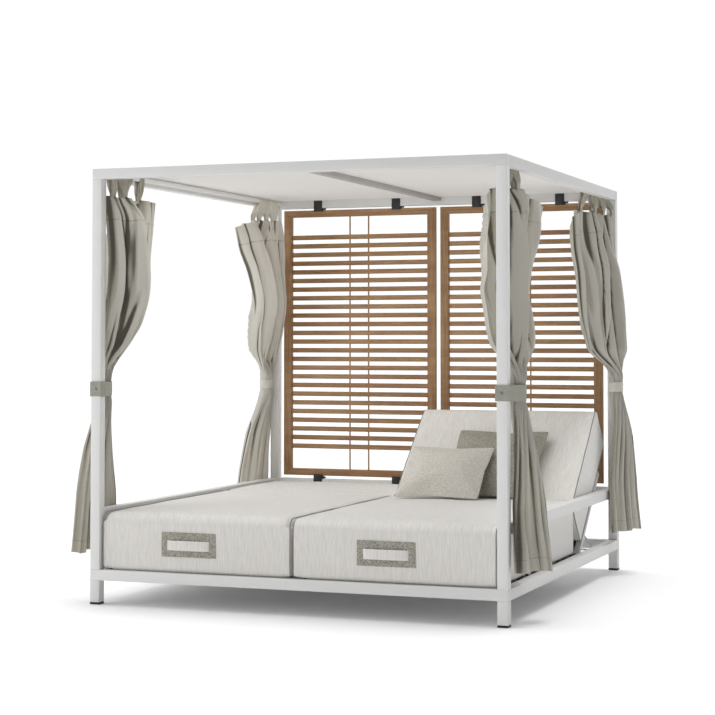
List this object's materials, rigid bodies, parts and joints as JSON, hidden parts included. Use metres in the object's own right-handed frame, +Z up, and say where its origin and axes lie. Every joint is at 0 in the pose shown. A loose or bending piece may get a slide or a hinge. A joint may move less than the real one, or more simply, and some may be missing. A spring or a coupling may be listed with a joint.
{
  "type": "outdoor daybed with canopy",
  "caption": "Square metal-framed outdoor daybed with a fabric canopy roof, tied-back curtains, louvred wooden back panels, thick cushions and adjustable backrests.",
  "frame": {"origin": "on the floor, in the middle of the outline seen from above", "axes": "+X to the right as seen from the open front, +Y to the louvred back, +Z up"},
  "size_m": [2.327, 2.2166, 2.087],
  "materials": {
    "frame_metal": "matt powder coat, light grey",
    "black_plastic": "moulded, matt black",
    "support_metal": "satin",
    "deck_metal": "matt powder coat",
    "teak": "oiled, fine straight grain",
    "roof_fabric": "woven, light grey-beige",
    "curtain_fabric": "woven linen look, grey-beige",
    "cushion_fabric": "woven, off-white, piped seams",
    "patch_fabric": "woven, grey-beige",
    "light_pillow_fabric": "woven, light beige",
    "dark_pillow_fabric": "woven, grey-beige"
  },
  "bodies": {
    "frame": {"base_front_rail": "frame_metal", "base_back_rail": "frame_metal", "base_left_rail": "frame_metal", "base_right_rail": "frame_metal", "base_centre_beam": "frame_metal", "left_front_foot_cap": "black_plastic", "left_front_leg": "frame_metal", "left_front_post": "frame_metal", "left_back_foot_cap": "black_plastic", "left_back_leg": "frame_metal", "left_back_post": "frame_metal", "right_front_foot_cap": "black_plastic", "right_front_leg": "frame_metal", "right_front_post": "frame_metal", "right_back_foot_cap": "black_plastic", "right_back_leg": "frame_metal", "right_back_post": "frame_metal", "left_arm_rail": "frame_metal", "right_arm_rail": "frame_metal", "upper_back_rail": "frame_metal", "roof_front_beam": "frame_metal", "roof_back_beam": "frame_metal", "roof_left_beam": "frame_metal", "roof_right_beam": "frame_metal", "left_curtain_rod": "frame_metal", "right_curtain_rod": "frame_metal", "roof_cross_bar": "frame_metal", "roof_fabric": "roof_fabric", "left_seat_deck": "deck_metal", "left_seat_cushion": "cushion_fabric", "left_cushion_handle": "patch_fabric", "left_louvre_frame": "teak", "left_louvre_slats": "teak", "left_panel_top_clip_left": "black_plastic", "left_panel_bottom_clip_left": "black_plastic", "left_panel_top_clip_right": "black_plastic", "left_panel_bottom_clip_right": "black_plastic", "left_front_curtain": "curtain_fabric", "left_back_curtain": "curtain_fabric", "left_front_tieback": "curtain_fabric", "right_seat_deck": "deck_metal", "right_seat_cushion": "cushion_fabric", "right_cushion_handle": "patch_fabric", "right_louvre_frame": "teak", "right_louvre_slats": "teak", "right_panel_top_clip_left": "black_plastic", "right_panel_bottom_clip_left": "black_plastic", "right_panel_top_clip_right": "black_plastic", "right_panel_bottom_clip_right": "black_plastic", "right_front_curtain": "curtain_fabric", "right_back_curtain": "curtain_fabric", "right_front_tieback": "curtain_fabric"},
    "left_backrest": {"left_backrest_frame": "support_metal"},
    "left_stay": {"left_backrest_stay": "support_metal"},
    "left_cushion": {"left_back_cushion": "cushion_fabric"},
    "right_backrest": {"right_backrest_frame": "support_metal"},
    "right_stay": {"right_backrest_stay": "support_metal"},
    "right_cushion": {"right_back_cushion": "cushion_fabric", "rear_pillow": "dark_pillow_fabric", "front_pillow": "light_pillow_fabric"}
  },
  "joints": [
    {"name": "left_backrest_hinge", "type": "hinge", "parent": "frame", "child": "left_backrest", "pos_m": [-0.50625, 0.41825, 0.1545], "axis": [1, 0, 0], "range_deg": [0, 41.5]},
    {"name": "left_stay_pivot", "type": "hinge", "parent": "left_backrest", "child": "left_stay", "pos_m": [-0.50625, 0.59225, 0.134], "axis": [1, 0, 0], "range_deg": [-66.2, 0]},
    {"name": "left_cushion_slide", "type": "slide", "parent": "left_backrest", "child": "left_cushion", "axis": [0, 1, 0], "range_m": [0, 0.1755]},
    {"name": "right_backrest_hinge", "type": "hinge", "parent": "frame", "child": "right_backrest", "pos_m": [0.50625, 0.41825, 0.1545], "axis": [1, 0, 0], "range_deg": [-41.5, 0]},
    {"name": "right_stay_pivot", "type": "hinge", "parent": "right_backrest", "child": "right_stay", "pos_m": [0.50625, 0.56215, 0.25444], "axis": [1, 0, 0], "range_deg": [0, 66.2]},
    {"name": "right_cushion_slide", "type": "slide", "parent": "right_backrest", "child": "right_cushion", "axis": [0, 0.749, 0.6626], "range_m": [-0.1755, 0]}
  ],
  "couplings": [
    {"joint": "left_stay_pivot", "follows": "left_backrest_hinge", "ratio": -1.5913},
    {"joint": "left_cushion_slide", "follows": "left_backrest_hinge", "m_per_rad": 0.24161},
    {"joint": "right_stay_pivot", "follows": "right_backrest_hinge", "ratio": -1.5913},
    {"joint": "right_cushion_slide", "follows": "right_backrest_hinge", "m_per_rad": 0.24161}
  ]
}
